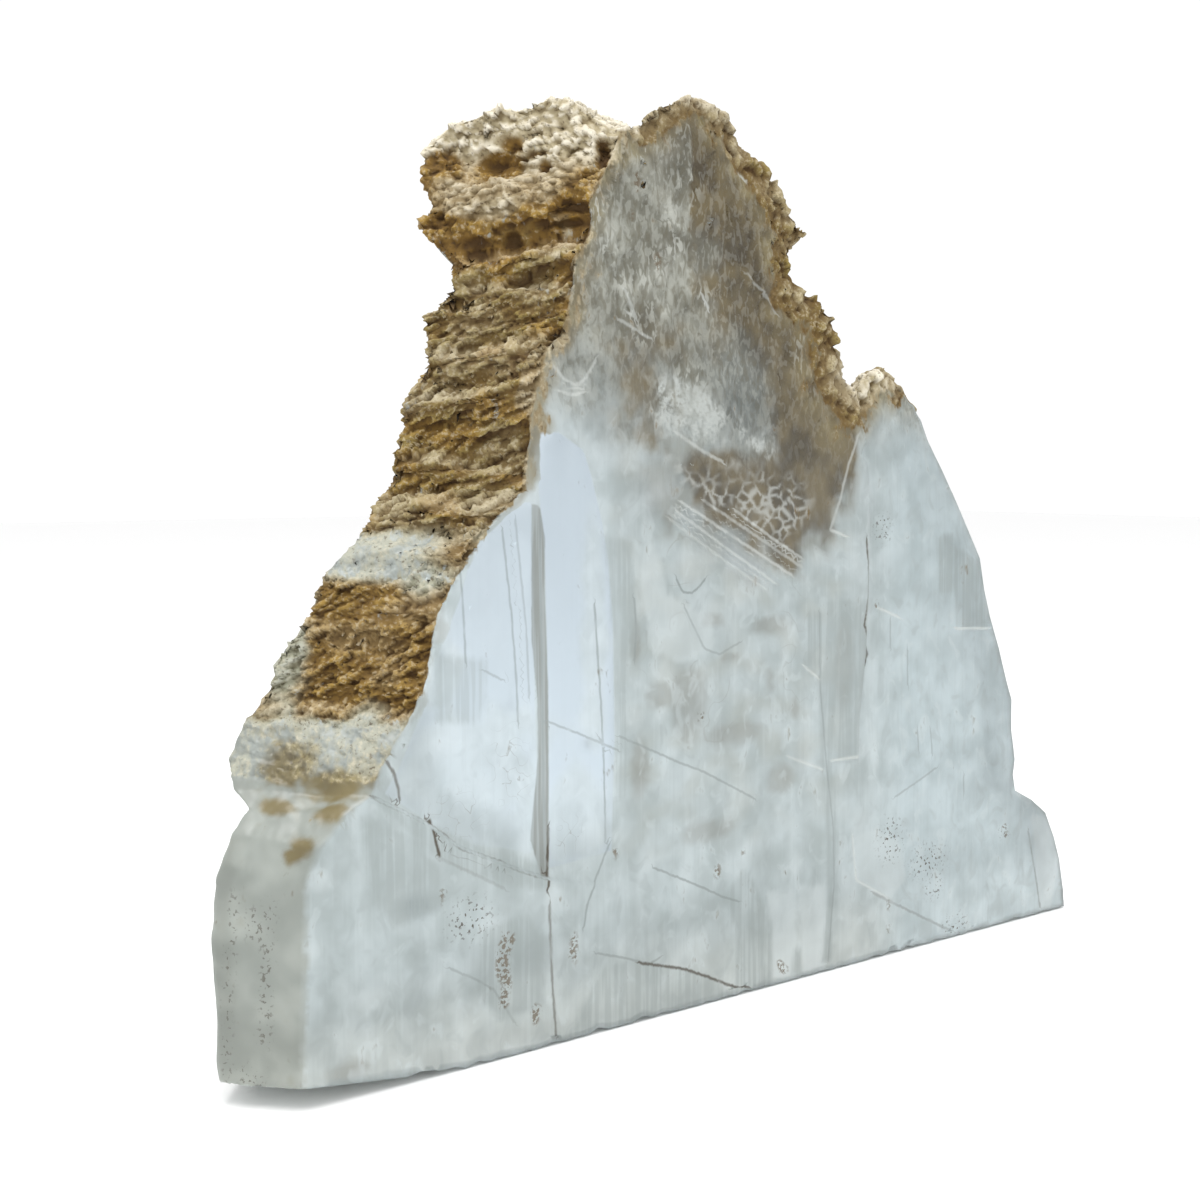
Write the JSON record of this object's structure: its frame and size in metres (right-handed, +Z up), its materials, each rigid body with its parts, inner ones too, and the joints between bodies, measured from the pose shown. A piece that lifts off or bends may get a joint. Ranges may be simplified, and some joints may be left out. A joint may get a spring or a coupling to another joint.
{
  "type": "selenite slab",
  "caption": "Free-standing weathered plate of clear gypsum crystal with a flat cleavage face, a ledged left flank and a flat sawn base.",
  "frame": {"origin": "centre of the slab's bounding box, on the surface it stands on", "axes": "+X along the slab to the right as seen from the broad cleavage face, +Y through its thickness away from that face, +Z up"},
  "size_m": [0.3636, 0.048, 0.3032],
  "materials": {
    "selenite": "clear to milky cleaved gypsum, tan granular crust on the flank and the upper rims"
  },
  "bodies": {
    "root": {"selenite_slab": "selenite"}
  },
  "joints": []
}
